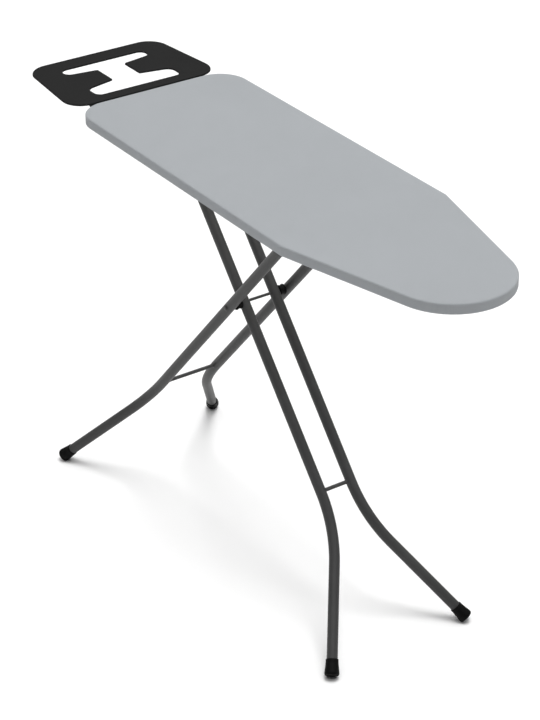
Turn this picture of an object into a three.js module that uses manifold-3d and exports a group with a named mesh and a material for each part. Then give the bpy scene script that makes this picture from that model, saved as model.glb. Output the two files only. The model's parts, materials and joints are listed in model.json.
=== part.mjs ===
// A folding ironing board: a steel-mesh top in a padded cotton cover, two crossed pairs of bent tube
// legs, a height catch under the top and a pressed iron rest behind its square end.
// Millimetres. +X runs from the iron rest to the nose, +Z is up and the floor is z = 0.
import * as THREE from "three";
import { mergeVertices } from "three/addons/utils/BufferGeometryUtils.js";
import Module from "manifold-3d";

const wasm = await Module();
wasm.setup();

// Driving dimensions. Inside the group x = 0 is the rear edge of the top.
const topHeight = 896;
const topLength = 1114;
const topWidth = 380;
const rearCornerRadius = 65;
const noseRadius = 122.5;
const taperAngle = THREE.MathUtils.degToRad(14.4);

const gap = 0.3; // between pieces that touch
const tubeHole = gap + 0.1; // round a pin that turns in a tube
const coverThickness = 1.2;
const coverDepth = 21.3;
const hemWidth = 24;
const padThickness = 4.9;
const deckThickness = 0.8;
const rimDiameter = 12;
const tubeWall = 1;

const legDiameter = 22;
const legAngle = THREE.MathUtils.degToRad(48.87); // from the floor, the same for both frames
const pinDrop = 39; // of the two top pins below the ironing surface
const rearPinX = 151.5;
const upperArm = 370; // from a top pin to the crossing
const innerLegY = 37.1;
const outerLegY = 70.9;
const legTopOverhang = 14;
const bendStart = 415.5; // along the leg, below the crossing
const bendRadius = 321;
const splayAngle = THREE.MathUtils.degToRad(26.3);
const crossbarAt = 413;
const crossbarRadius = 4;
const footEndHeight = 8; // of the middle of a foot cap's end above the floor
const footTubeInset = 12.3; // from the end of a foot cap to the end of its tube

const axleRadius = 3;
const axleOverhang = 1.2; // past the outer legs
const hingePinRadius = 4;
const slideBarRadius = 5;
const slideBarHalf = 108.5;
const runner = { ends: [606, 936], bottom: 841, y: 86, thickness: 2, flange: 14, cornerRadius: 12 };
const glideRadius = 7.4; // of the part that runs in the slot
const glideFlangeRadius = 9.5;

const workingHeights = [896, 860, 820, 780, 740, 700]; // of the ironing surface, one notch each
const catchPlate = { face: -98.5, thickness: 2.5, end: 560, height: 12.4 }; // face: its inner side
const catchTab = { width: 40, end: -150 };
const catchGrip = { x: [550, 610], y: [-154, -112], z: [856, 871], pocket: -111 };
const leverPivot = { x: 925, z: 868 };
const leverPinRadius = 2.5;
const leverEar = { half: 15, radius: 7, thickness: 1.8, outer: -112, inner: -93.7 };

const restLength = 254;
const restDrop = 7.5; // of the iron rest below the ironing surface
const restDepth = 4;
const restGap = 20; // between the iron rest and the top
const restSheet = 2;

// Levels that follow from them.
const coverUnder = topHeight - coverThickness;
const padBottom = coverUnder - gap - padThickness;
const deckBottom = padBottom - gap - deckThickness;
const frameTop = deckBottom - gap;
const coverBottom = topHeight - coverDepth;
const hemTop = coverBottom + coverThickness;
const rimInset = coverThickness + gap + rimDiameter / 2;
const rimInner = rimInset + rimDiameter / 2;
const pinZ = topHeight - pinDrop;
const pivotX = rearPinX + upperArm * Math.cos(legAngle);
const pivotZ = pinZ - upperArm * Math.sin(legAngle);
const frontPinX = rearPinX + 2 * upperArm * Math.cos(legAngle);
const foldedPinX = rearPinX + 2 * upperArm;
const legRadius = legDiameter / 2;
const noseX = topLength - noseRadius;
const restTop = topHeight - restDrop;

function finish(color, roughness, metalness = 0) {
  return () => new THREE.MeshStandardMaterial({ color, roughness, metalness });
}

const cotton = finish(0xb2b6b9, 0.95);
const felt = finish(0xd9d4c8, 1);
const zincSteel = finish(0xa3a7a9, 0.45, 0.8);
const legPaint = finish(0x4a4a4a, 0.5, 0.3);
const restPaint = finish(0x303030, 0.45, 0.3);
const blackPlastic = finish(0x1b1b1b, 0.6);
const springSteel = finish(0xb8bcc0, 0.3, 0.9);

// Solids. manifold-3d cuts and joins, and every shape is a three.js geometry.
function toSolid(geometry) {
  const bare = geometry.clone();
  bare.deleteAttribute("normal");
  bare.deleteAttribute("uv");
  const merged = mergeVertices(bare, 1e-4);
  const vertProperties = merged.attributes.position.array;
  const triVerts = new Uint32Array(merged.index.array);
  return new wasm.Manifold(new wasm.Mesh({ numProp: 3, vertProperties, triVerts }));
}

function toGeometry(solid) {
  const mesh = solid.getMesh();
  const geometry = new THREE.BufferGeometry();
  geometry.setAttribute("position", new THREE.BufferAttribute(new Float32Array(mesh.vertProperties), 3));
  geometry.setIndex(new THREE.BufferAttribute(new Uint32Array(mesh.triVerts), 1));
  geometry.computeVertexNormals();
  return geometry;
}

function cut(geometry, ...tools) {
  let solid = toSolid(geometry);
  for (const tool of tools) solid = solid.subtract(toSolid(tool));
  return toGeometry(solid);
}

function join(geometry, ...others) {
  let solid = toSolid(geometry);
  for (const other of others) solid = solid.add(toSolid(other));
  return toGeometry(solid);
}

function box([x0, x1], [y0, y1], [z0, z1]) {
  const geometry = new THREE.BoxGeometry(x1 - x0, y1 - y0, z1 - z0);
  return geometry.translate((x0 + x1) / 2, (y0 + y1) / 2, (z0 + z1) / 2);
}

// A flat shape in XY, raised from z0 to z1.
function slab(shape, z0, z1, curveSegments = 6) {
  const geometry = new THREE.ExtrudeGeometry(shape, { depth: z1 - z0, bevelEnabled: false, curveSegments });
  return geometry.translate(0, 0, z0);
}

// A flat shape drawn in XZ, standing between two values of y.
function plate(shape, y0, y1, curveSegments = 6) {
  return slab(shape, 0, y1 - y0, curveSegments).rotateX(Math.PI / 2).translate(0, y1, 0);
}

// A turned piece about a line along y; each profile point is [radius, y].
function turned(profile, x, z, sides = 16) {
  const points = profile.map(([radius, y]) => new THREE.Vector2(radius, y));
  return new THREE.LatheGeometry(points, sides).translate(x, 0, z);
}

function rod(radius, y0, y1, x, z, sides = 16) {
  return turned([[0, y0], [radius, y0], [radius, y1], [0, y1]], x, z, sides);
}

function ring(inner, outer, y0, y1, x, z) {
  return turned([[inner, y0], [outer, y0], [outer, y1], [inner, y1], [inner, y0]], x, z);
}

// A path that is sampled exactly at its own stations.
class Route extends THREE.Curve {
  constructor(stations) {
    super();
    this.stations = stations;
  }

  getPoint(t, target = new THREE.Vector3()) {
    const last = this.stations.length - 1;
    const along = THREE.MathUtils.clamp(t, 0, 1) * last;
    const index = Math.min(Math.floor(along), last - 1);
    return target.lerpVectors(this.stations[index], this.stations[index + 1], along - index);
  }

  getUtoTmapping(u) {
    return u;
  }
}

function circle(radius, sides) {
  const shape = new THREE.Shape();
  for (let i = 0; i < sides; i++) {
    const angle = (2 * Math.PI * i) / sides;
    if (i === 0) shape.moveTo(radius, 0);
    else shape.lineTo(radius * Math.cos(angle), radius * Math.sin(angle));
  }
  shape.closePath();
  return shape;
}

// A bent tube or wire through the stations, hollow when a wall is given.
function bentTube(stations, radius, wall = 0, sides = 16) {
  const section = circle(radius, sides);
  if (wall) section.holes.push(circle(radius - wall, sides));
  return new THREE.ExtrudeGeometry(section, {
    steps: stations.length - 1,
    extrudePath: new Route(stations),
    bevelEnabled: false,
  });
}

// Corners are [x, y, radius], anticlockwise round the shape.
function cornerFrame(corners, i) {
  const [x, y, radius] = corners[i];
  const [px, py] = corners[(i + corners.length - 1) % corners.length];
  const [nx, ny] = corners[(i + 1) % corners.length];
  const point = new THREE.Vector2(x, y);
  const into = point.clone().sub(new THREE.Vector2(px, py)).normalize();
  const out = new THREE.Vector2(nx, ny).sub(point).normalize();
  const turn = Math.atan2(into.cross(out), into.dot(out));
  return { point, into, out, turn, radius };
}

function roundedShape(corners, segments = 6) {
  const points = [];
  for (let i = 0; i < corners.length; i++) {
    const { point, into, turn, radius } = cornerFrame(corners, i);
    const side = Math.sign(turn);
    const start = point.clone().addScaledVector(into, -radius * Math.tan(Math.abs(turn) / 2));
    const centre = start.clone().add(new THREE.Vector2(-into.y, into.x).multiplyScalar(radius * side));
    for (let k = 0; k <= segments; k++) {
      points.push(start.clone().rotateAround(centre, (turn * k) / segments));
    }
  }
  return new THREE.Shape(points);
}

// The same corners moved inwards, or outwards when the distance is negative.
function insetCorners(corners, distance) {
  return corners.map((corner, i) => {
    const { point, into, out, turn, radius } = cornerFrame(corners, i);
    const before = new THREE.Vector2(-into.y, into.x);
    const after = new THREE.Vector2(-out.y, out.x);
    const shift = distance / (1 + before.dot(after));
    const moved = point.addScaledVector(before.add(after), shift);
    return [moved.x, moved.y, radius - distance * Math.sign(turn)];
  });
}

const object = new THREE.Group();
object.position.x = -(topLength - restLength) / 2;

function add(group, name, geometry, material) {
  const mesh = new THREE.Mesh(geometry, material());
  mesh.name = name;
  group.add(mesh);
}

const sides = { left: 1, right: -1 };
const past = 1; // how far a cutting tool reaches beyond the piece it cuts

// Two distances from the middle as a span of y on one side.
function span(side, near, far) {
  return side > 0 ? [near, far] : [-far, -near];
}

// The top: its outline, then the cover, pad, mesh deck and rim tube.
function taperStart(inset) {
  const radius = noseRadius - inset;
  const rise = topWidth / 2 - inset - radius * Math.cos(taperAngle);
  return noseX + radius * Math.sin(taperAngle) - rise / Math.tan(taperAngle);
}

function topOutline(inset) {
  const half = topWidth / 2 - inset;
  const corner = rearCornerRadius - inset;
  const noseSweep = Math.PI / 2 - taperAngle;
  const shape = new THREE.Shape();
  shape.moveTo(inset, 0);
  shape.absarc(inset + corner, corner - half, corner, Math.PI, 1.5 * Math.PI);
  shape.lineTo(taperStart(inset), -half);
  shape.absarc(noseX, 0, noseRadius - inset, -noseSweep, noseSweep);
  shape.lineTo(taperStart(inset), half);
  shape.absarc(inset + corner, half - corner, corner, Math.PI / 2, Math.PI);
  return shape;
}

// Half the width of the top at x, less an inset.
function halfWidthAt(x, inset) {
  const half = topWidth / 2 - inset;
  return half - Math.max(0, x - taperStart(inset)) * Math.tan(taperAngle);
}

function addTop() {
  const inside = slab(topOutline(coverThickness), hemTop, coverUnder);
  const mouth = slab(topOutline(hemWidth), coverBottom - past, hemTop + gap / 2);
  add(object, "cover", cut(slab(topOutline(0), coverBottom, topHeight), inside, mouth), cotton);

  const sheetInset = coverThickness + gap;
  add(object, "pad", slab(topOutline(sheetInset), padBottom, padBottom + padThickness), felt);
  add(object, "mesh_deck", slab(topOutline(sheetInset), deckBottom, deckBottom + deckThickness), zincSteel);

  const rimZ = frameTop - rimDiameter / 2;
  const around = topOutline(rimInset).getPoints(6);
  const stations = around.map((point) => new THREE.Vector3(point.x, point.y, rimZ));
  stations[0].y = -gap / 2;
  stations[stations.length - 1] = new THREE.Vector3(rimInset, gap / 2, rimZ);
  add(object, "rim_tube", bentTube(stations, rimDiameter / 2, tubeWall, 10), zincSteel);
}

// Box tubes under the deck, from one side of the rim tube to the other.
const crossMembers = { rear: 113, hinge: 190, middle: 470, nose: 968 };
const member = { half: 12, wall: 1.5, bottom: hemTop + gap };
const restArm = { y: 128, half: 9, thickness: 2.5, back: -225, crank: [-34, -12, 34, 46], front: 135 };

function addCrossMembers() {
  const hollow = [member.bottom + member.wall, frameTop - member.wall];
  for (const [name, x] of Object.entries(crossMembers)) {
    const half = halfWidthAt(x + member.half, rimInner + gap);
    const reach = member.half - member.wall;
    const outer = box([x - member.half, x + member.half], [-half, half], [member.bottom, frameTop]);
    const tools = [box([x - reach, x + reach], [-half - past, half + past], hollow)];
    if (name === "rear") {
      for (const side of Object.values(sides)) {
        tools.push(screwHole(x, side * restArm.y, member.bottom - past, hollow[0] + past));
      }
    }
    add(object, `cross_member_${name}`, cut(outer, ...tools), zincSteel);
  }
}

// Screws that stand along z, head down.
const screwRadius = 2.5;
const screwHead = { radius: 4.6, flatRadius: 3, height: 2.6, rim: 1 };
const screwReach = 4; // of the tip into the box tube

function screwHole(x, y, z0, z1) {
  return new THREE.CylinderGeometry(screwRadius + gap, screwRadius + gap, z1 - z0, 12)
    .rotateX(Math.PI / 2)
    .translate(x, y, (z0 + z1) / 2);
}

function screw(x, y, headTop, tip) {
  const profile = [
    [0, headTop - screwHead.height],
    [screwHead.flatRadius, headTop - screwHead.height],
    [screwHead.radius, headTop - screwHead.rim],
    [screwHead.radius, headTop],
    [screwRadius, headTop],
    [screwRadius, tip - 1],
    [screwRadius - 1, tip],
    [0, tip],
  ];
  const points = profile.map(([radius, z]) => new THREE.Vector2(radius, z));
  return new THREE.LatheGeometry(points, 12).rotateX(Math.PI / 2).translate(x, y, 0);
}

// The iron rest: a pressed sheet with a turned-down rim and an H-shaped slot, on two flat arms.
const restCorners = [
  [-restLength, -160, 47],
  [-restGap, -182, 45],
  [-restGap, 182, 45],
  [-restLength, 160, 47],
];
const slotHalf = [
  [-49.5, 102, 14],
  [-92, 104, 19],
  [-107, 33, 3],
  [-169, 33, 4],
  [-180, 103, 14],
  [-209.5, 102.5, 15],
];
const slotCorners = [...slotHalf, ...slotHalf.map(([x, y, radius]) => [x, -y, radius]).reverse()];

function pierced(outline, slot) {
  outline.holes.push(slot);
  return outline;
}

function addIronRest() {
  const bottom = restTop - restDepth;
  const sheet = pierced(roundedShape(restCorners), roundedShape(slotCorners));
  const inner = pierced(
    roundedShape(insetCorners(restCorners, restSheet)),
    roundedShape(insetCorners(slotCorners, -restSheet)),
  );
  const pressing = cut(slab(sheet, bottom, restTop), slab(inner, bottom - past, restTop - restSheet));
  add(object, "iron_rest", pressing, restPaint);

  const underRest = restTop - restSheet - gap;
  const underHem = coverBottom - gap;
  const underFrame = member.bottom - gap;
  const [crankBack, hemBack, hemFront, crankFront] = restArm.crank;
  const topLine = [
    [restArm.back, underRest],
    [crankBack, underRest],
    [hemBack, underHem],
    [hemFront, underHem],
    [crankFront, underFrame],
    [restArm.front, underFrame],
  ];
  const lowLine = topLine.map(([x, z]) => [x, z - restArm.thickness]).reverse();
  const profile = new THREE.Shape([...topLine, ...lowLine].map(([x, z]) => new THREE.Vector2(x, z)));
  const armBottom = underFrame - restArm.thickness;
  const screwTip = member.bottom + member.wall + screwReach;
  for (const [name, side] of Object.entries(sides)) {
    const y = side * restArm.y;
    const hole = screwHole(crossMembers.rear, y, armBottom - past, underFrame + past);
    const arm = plate(profile, y - restArm.half, y + restArm.half);
    add(object, `rest_arm_${name}`, cut(arm, hole), restPaint);
    const fastener = screw(crossMembers.rear, y, armBottom - gap, screwTip);
    add(object, `rest_arm_screw_${name}`, fastener, springSteel);
  }
}

// The fixed hinge of the inner legs.
const rearHinge = { half: 24, earInner: 51, earOuter: 53.5, earRadius: 12, bridge: 2.5, pinHalf: 57.5 };
const hingeClip = { radius: 8, thickness: 2 };

// The outline of an ear that hangs from the frame and is rounded about its bore.
function earOutline(x, z, half, radius, slant) {
  const shape = new THREE.Shape();
  shape.moveTo(x - half, frameTop);
  shape.absarc(x, z, radius, Math.PI * (1 + slant), Math.PI * (2 - slant));
  shape.lineTo(x + half, frameTop);
  shape.closePath();
  return shape;
}

function addRearHinge() {
  const { half, earInner, earOuter } = rearHinge;
  const ear = earOutline(rearPinX, pinZ, half, rearHinge.earRadius, 0.06);
  const bridgeZ = [frameTop - rearHinge.bridge, frameTop];
  const bridge = box([rearPinX - half, rearPinX + half], [-earOuter, earOuter], bridgeZ);
  const ears = Object.values(sides).map((side) => plate(ear, ...span(side, earInner, earOuter), 5));
  const bore = rod(hingePinRadius + tubeHole, -earOuter - past, earOuter + past, rearPinX, pinZ);
  add(object, "rear_hinge_bracket", cut(join(bridge, ...ears), bore), zincSteel);
  const pin = rod(hingePinRadius, -rearHinge.pinHalf, rearHinge.pinHalf, rearPinX, pinZ);
  add(object, "rear_hinge_pin", pin, springSteel);
  const clipNear = earOuter + gap;
  for (const [name, side] of Object.entries(sides)) {
    const clipY = span(side, clipNear, clipNear + hingeClip.thickness);
    const clip = ring(hingePinRadius + gap, hingeClip.radius, ...clipY, rearPinX, pinZ);
    add(object, `rear_hinge_clip_${name}`, clip, springSteel);
  }
}

// The slotted angles that the slide bar travels in.
function addRunners() {
  const [x0, x1] = runner.ends;
  const slotEnd = glideRadius + 2 * gap;
  const far = runner.y + runner.thickness;
  for (const [name, side] of Object.entries(sides)) {
    const web = roundedShape([
      [x0, runner.bottom, runner.cornerRadius],
      [x1, runner.bottom, runner.cornerRadius],
      [x1, frameTop, 0.5],
      [x0, frameTop, 0.5],
    ]);
    const slot = new THREE.Path();
    slot.absarc(frontPinX - gap, pinZ, slotEnd, Math.PI / 2, 1.5 * Math.PI);
    slot.absarc(foldedPinX + gap, pinZ, slotEnd, -Math.PI / 2, Math.PI / 2);
    slot.closePath();
    web.holes.push(slot);
    const upright = plate(web, ...span(side, runner.y, far));
    const flangeY = span(side, far - runner.flange - runner.thickness, far);
    const flange = box([x0, x1], flangeY, [frameTop - runner.thickness, frameTop]);
    add(object, `runner_${name}`, join(upright, flange), zincSteel);
  }
}

// The height catch: a notched plate that drops over the slide bar, lifted by a grip near the edge.
const catchGap = 0.6; // between the slide bar and the notch it lies in
const catchTips = pinZ + slideBarRadius + catchGap;
const catchBack = catchPlate.face - catchPlate.thickness;

// Where the slide bar stands when the ironing surface is at a height.
function slideBarX(height) {
  const leg = upperArm + pivotZ / Math.sin(legAngle);
  return rearPinX + 2 * upperArm * Math.cos(Math.asin((height - pinDrop) / leg));
}

function addCatchPlate() {
  const { x: px, z: pz } = leverPivot;
  const { end, height, face } = catchPlate;
  const outline = roundedShape([
    [end, catchTips, 3],
    [px - 9, catchTips, 0.5],
    [px, pz - 8.5, 4],
    [px + 9, pz, 7],
    [px, catchTips + height, 6],
    [end, catchTips + height, 4],
  ]);
  const through = [catchBack - past, face + past];
  const notchRadius = slideBarRadius + catchGap;
  const notches = workingHeights.map((level) => rod(notchRadius, ...through, slideBarX(level), catchTips));
  const tabZ = [catchTips, catchTips + catchPlate.thickness];
  const tab = box([end, end + catchTab.width], [catchTab.end, face], tabZ);
  const pinHole = rod(leverPinRadius + gap, ...through, px, pz);
  const body = join(plate(outline, catchBack, face), tab);
  add(object, "catch_plate", cut(body, ...notches, pinHole), zincSteel);

  const [gripX0, gripX1] = catchGrip.x;
  const [gripZ0, gripZ1] = catchGrip.z;
  const gripShape = roundedShape([
    [gripX0, gripZ0, 5],
    [gripX1, gripZ0, 5],
    [gripX1, gripZ1, 6],
    [gripX0, gripZ1, 6],
  ]);
  const pocketX = [end - gap, end + catchTab.width + gap];
  const pocket = box(pocketX, [catchTab.end - gap, catchGrip.pocket], [tabZ[0] - gap, tabZ[1] + gap]);
  add(object, "catch_grip", cut(plate(gripShape, ...catchGrip.y), pocket), blackPlastic);
}

function addCatchPivot() {
  const { x: px, z: pz } = leverPivot;
  const { half, radius, thickness, outer, inner } = leverEar;
  const bridge = box([px - half, px + half], [outer, inner], [frameTop - thickness, frameTop]);
  const ear = earOutline(px, pz, half, radius, 0.1);
  const ears = [plate(ear, outer, outer + thickness, 4), plate(ear, inner - thickness, inner, 4)];
  const bore = rod(leverPinRadius + gap, outer - past, inner + past, px, pz);
  add(object, "catch_bracket", cut(join(bridge, ...ears), bore), zincSteel);

  const head = { radius: 4.2, under: inner + gap, top: inner + 1.7 };
  const pinEnd = outer - 3.5;
  const pinProfile = [
    [0, pinEnd],
    [leverPinRadius, pinEnd],
    [leverPinRadius, head.under],
    [head.radius, head.under],
    [head.radius, head.top],
    [0, head.top],
  ];
  add(object, "catch_pin", turned(pinProfile, px, pz), springSteel);
  const clip = ring(leverPinRadius + gap, 5, outer - 2, outer - 0.4, px, pz);
  add(object, "catch_pin_clip", clip, springSteel);
  add(object, "catch_spring", catchSpring(), springSteel);
}

// A torsion spring round the catch pin, one end along the plate and one up to the bracket.
function catchSpring() {
  const { x: px, z: pz } = leverPivot;
  const coil = { radius: 4.4, wire: 0.6, turns: 4.25, first: -102.2, last: -108.4 };
  const leg = { along: 20, down: 12 };
  const perTurn = 12;
  const steps = coil.turns * perTurn;
  const stations = [new THREE.Vector3(px - leg.along, coil.first, pz + coil.radius)];
  for (let i = 0; i <= steps; i++) {
    const angle = (2 * Math.PI * i) / perTurn;
    const y = THREE.MathUtils.lerp(coil.first, coil.last, i / steps);
    const x = px + coil.radius * Math.sin(angle);
    stations.push(new THREE.Vector3(x, y, pz + coil.radius * Math.cos(angle)));
  }
  const end = stations[stations.length - 1];
  stations.push(new THREE.Vector3(end.x, end.y - gap, pz - leg.down));
  return bentTube(stations, coil.wire, 0, 6);
}

// One frame of legs lies along its own x axis from the crossing, with y across the board.
const footEnd = (pivotZ - footEndHeight) / Math.sin(legAngle);

function legLine(legY, side) {
  const line = [new THREE.Vector3(-upperArm - legTopOverhang, side * legY, 0)];
  const steps = 6;
  for (let i = 0; i <= steps; i++) {
    const angle = (splayAngle * i) / steps;
    const x = bendStart + bendRadius * Math.sin(angle);
    line.push(new THREE.Vector3(x, side * (legY + bendRadius * (1 - Math.cos(angle))), 0));
  }
  const last = line[line.length - 1];
  const footY = last.y + side * (footEnd - last.x) * Math.tan(splayAngle);
  line.push(new THREE.Vector3(footEnd, footY, 0));
  return line;
}

function legTube(line, holes) {
  const stations = line.map((point) => point.clone());
  const [beforeEnd, end] = stations.slice(-2);
  end.addScaledVector(end.clone().sub(beforeEnd).normalize(), -footTubeInset);
  return cut(bentTube(stations, legRadius, tubeWall), ...holes);
}

// A flared cap on the end of the tube, worn flat where it stands on the floor.
const footBore = legRadius + gap;
const footProfile = [
  [0, 0],
  [13.2, 0],
  [14.6, 1.5],
  [14.8, 5],
  [12.6, 31],
  [12, 33],
  [footBore, 33],
  [footBore, footTubeInset - gap],
  [0, footTubeInset - gap],
];

function footCap(line, floor) {
  const [beforeEnd, end] = line.slice(-2);
  const points = footProfile.map(([radius, up]) => new THREE.Vector2(radius, up));
  const cap = new THREE.LatheGeometry(points, 20);
  const up = beforeEnd.clone().sub(end).normalize();
  cap.applyQuaternion(new THREE.Quaternion().setFromUnitVectors(new THREE.Vector3(0, 1, 0), up));
  cap.translate(end.x, end.y, end.z);
  return cut(cap, floor);
}

function topPlug(y) {
  const start = -upperArm - legTopOverhang;
  const stem = legRadius - tubeWall - gap;
  const profile = [
    [0, -3],
    [legRadius - 2, -3],
    [legRadius, -1.5],
    [legRadius, -gap],
    [stem, -gap],
    [stem, 7],
    [0, 7],
  ];
  const points = profile.map(([radius, along]) => new THREE.Vector2(radius, along));
  return new THREE.LatheGeometry(points, 16).rotateZ(-Math.PI / 2).translate(start, y, 0);
}

function legFrame(name, legY, turn, topHoleRadius) {
  const group = new THREE.Group();
  group.position.set(pivotX, 0, pivotZ);
  group.rotation.y = turn;
  object.add(group);
  group.updateMatrix();
  const floor = box([-2000, 2000], [-500, 500], [-200, 0]).applyMatrix4(group.matrix.clone().invert());
  for (const [sideName, side] of Object.entries(sides)) {
    const line = legLine(legY, side);
    const through = span(side, legY - legDiameter, legY + legDiameter);
    const holes = [
      rod(axleRadius + tubeHole, ...through, 0, 0),
      rod(topHoleRadius, ...through, -upperArm, 0),
    ];
    add(group, `${name}_leg_${sideName}`, legTube(line, holes), legPaint);
    add(group, `${name}_foot_${sideName}`, footCap(line, floor), blackPlastic);
    add(group, `${name}_leg_plug_${sideName}`, topPlug(side * legY), blackPlastic);
  }
  const half = legY - legRadius - gap;
  add(group, `${name}_crossbar`, rod(crossbarRadius, -half, half, crossbarAt, 0, 12), legPaint);
  return group;
}

// Turned pieces in pairs, drawn for the left side.
function addPair(group, name, profile, x, material) {
  for (const [sideName, side] of Object.entries(sides)) {
    const geometry = turned(profile, 0, 0);
    if (side < 0) geometry.rotateX(Math.PI);
    add(group, `${name}_${sideName}`, geometry.translate(x, 0, 0), material);
  }
}

const outerFace = outerLegY + legRadius;
const runningGap = 0.4; // between pieces that turn or slide past each other

// The inner legs hang from the rear hinge and carry the axle.
function addInnerLegs() {
  const inner = legFrame("inner", innerLegY, legAngle, hingePinRadius + tubeHole);
  const axleEnd = outerFace + axleOverhang;
  add(inner, "axle", rod(axleRadius, -axleEnd, axleEnd, 0, 0, 12), legPaint);
  const saddleRadius = legRadius + gap;
  const saddleTube = new THREE.CylinderGeometry(saddleRadius, saddleRadius, 60, 24).rotateZ(Math.PI / 2);
  for (const [name, side] of Object.entries(sides)) {
    const spacerY = span(side, innerLegY + 6, outerLegY - legRadius - runningGap);
    const spacer = ring(axleRadius + gap, 11.5, ...spacerY, 0, 0);
    const saddle = saddleTube.clone().translate(0, side * innerLegY, 0);
    add(inner, `axle_spacer_${name}`, cut(spacer, saddle), blackPlastic);
  }
  const near = outerFace + runningGap;
  const capProfile = [
    [axleRadius + gap, near],
    [6.2, near],
    [6, near + 1],
    [4.2, near + 2.2],
    [0, near + 2.4],
    [0, axleEnd + gap],
    [axleRadius + gap, axleEnd + gap],
    [axleRadius + gap, near],
  ];
  addPair(inner, "axle_cap", capProfile, 0, legPaint);
}

// The outer legs carry the slide bar, its glides and the caps on its ends.
function addOuterLegs() {
  const outer = legFrame("outer", outerLegY, Math.PI - legAngle, slideBarRadius + tubeHole);
  add(outer, "slide_bar", rod(slideBarRadius, -slideBarHalf, slideBarHalf, -upperArm, 0), springSteel);
  const bore = slideBarRadius + gap;
  const flangeNear = runner.y - runningGap;
  const flangeFar = runner.y + runner.thickness + runningGap;
  const glideProfile = [
    [bore, outerFace + gap],
    [glideFlangeRadius, outerFace + gap],
    [glideFlangeRadius, flangeNear],
    [glideRadius, flangeNear],
    [glideRadius, flangeFar],
    [glideFlangeRadius, flangeFar],
    [glideFlangeRadius, flangeFar + 2.4],
    [bore, flangeFar + 2.4],
    [bore, outerFace + gap],
  ];
  const capStart = slideBarHalf - 5;
  const capProfile = [
    [bore, capStart],
    [7.5, capStart],
    [7.5, slideBarHalf + 1.5],
    [6, slideBarHalf + 3],
    [0, slideBarHalf + 3],
    [0, slideBarHalf + gap],
    [bore, slideBarHalf + gap],
    [bore, capStart],
  ];
  addPair(outer, "slide_glide", glideProfile, -upperArm, blackPlastic);
  addPair(outer, "slide_bar_cap", capProfile, -upperArm, blackPlastic);
}

addTop();
addCrossMembers();
addIronRest();
addRearHinge();
addRunners();
addCatchPlate();
addCatchPivot();
addInnerLegs();
addOuterLegs();

export default object;
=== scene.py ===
import json
import math

import bmesh
import bpy
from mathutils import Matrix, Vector

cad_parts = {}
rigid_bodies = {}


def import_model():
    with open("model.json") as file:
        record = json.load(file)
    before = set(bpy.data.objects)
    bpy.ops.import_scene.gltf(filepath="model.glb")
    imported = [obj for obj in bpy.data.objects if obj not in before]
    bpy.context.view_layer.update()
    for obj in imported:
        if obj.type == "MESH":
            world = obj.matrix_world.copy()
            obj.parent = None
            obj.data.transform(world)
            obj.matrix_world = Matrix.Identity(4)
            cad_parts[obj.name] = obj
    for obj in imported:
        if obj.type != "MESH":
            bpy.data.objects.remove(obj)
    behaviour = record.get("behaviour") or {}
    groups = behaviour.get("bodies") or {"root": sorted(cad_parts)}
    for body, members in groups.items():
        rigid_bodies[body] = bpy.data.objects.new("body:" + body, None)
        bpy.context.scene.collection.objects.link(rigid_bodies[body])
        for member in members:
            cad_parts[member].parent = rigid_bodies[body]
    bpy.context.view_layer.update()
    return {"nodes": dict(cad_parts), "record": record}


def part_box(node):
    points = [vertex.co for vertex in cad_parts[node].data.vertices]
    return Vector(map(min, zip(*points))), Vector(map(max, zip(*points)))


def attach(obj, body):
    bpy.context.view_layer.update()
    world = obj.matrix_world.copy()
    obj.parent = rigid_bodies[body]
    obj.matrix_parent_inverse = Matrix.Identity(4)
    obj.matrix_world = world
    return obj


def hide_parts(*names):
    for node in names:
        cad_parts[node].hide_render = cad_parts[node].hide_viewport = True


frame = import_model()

nodes = frame["nodes"]
print("frame loaded,", len(nodes), "parts")

sameSpot = 1e-5  # points closer than this count as one


def letGo():
    if bpy.context.mode != "OBJECT":
        bpy.ops.object.mode_set(mode="OBJECT")
    bpy.ops.object.select_all(action="DESELECT")


def take(piece):
    letGo()
    piece.select_set(True)
    bpy.context.view_layer.objects.active = piece
    return piece


def openUp(piece, everything=False):
    take(piece)
    bpy.ops.object.mode_set(mode="EDIT")
    bpy.ops.mesh.select_all(action="SELECT" if everything else "DESELECT")


def pick(piece, kind, test):
    bpy.ops.mesh.select_mode(type=kind)
    bpy.ops.mesh.select_all(action="DESELECT")
    mesh = bmesh.from_edit_mesh(piece.data)
    for item in {"VERT": mesh.verts, "EDGE": mesh.edges, "FACE": mesh.faces}[kind]:
        if test(item):
            item.select_set(True)
    mesh.select_flush_mode()
    bmesh.update_edit_mesh(piece.data)


def middle(item):
    points = [v.co for v in item.verts]
    return sum(points, Vector()) / len(points)


def settle(piece, name=None):
    take(piece)
    bpy.ops.object.transform_apply(location=True, rotation=True, scale=True)
    if name:
        piece.name = piece.data.name = name
    return piece


def addModifier(piece, kind, **settings):
    modifier = piece.modifiers.new(kind.title(), kind)
    for key, value in settings.items():
        setattr(modifier, key, value)
    return modifier


def applied(piece, kind, **settings):
    modifier = addModifier(piece, kind, **settings)
    take(piece)
    bpy.ops.object.modifier_apply(modifier=modifier.name)


def pull(x=0.0, y=0.0, z=0.0):  # extrude what is selected
    bpy.ops.mesh.extrude_region_move(TRANSFORM_OT_translate={"value": (x, y, z)})


def cleanUp(piece, distance=0.00005):  # doubles merged, faces turned outwards
    openUp(piece, everything=True)
    bpy.ops.mesh.remove_doubles(threshold=distance)
    bpy.ops.mesh.normals_make_consistent(inside=False)
    letGo()


def smooth(piece, degrees=35):
    take(piece)
    bpy.ops.object.shade_smooth_by_angle(angle=math.radians(degrees))


def mounted(piece, body, slotName, finishMaterial, *replaced):
    piece.data.materials.clear()
    piece.data.materials.append(finishMaterial)
    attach(piece, body)
    if replaced:
        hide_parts(*replaced)


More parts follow.
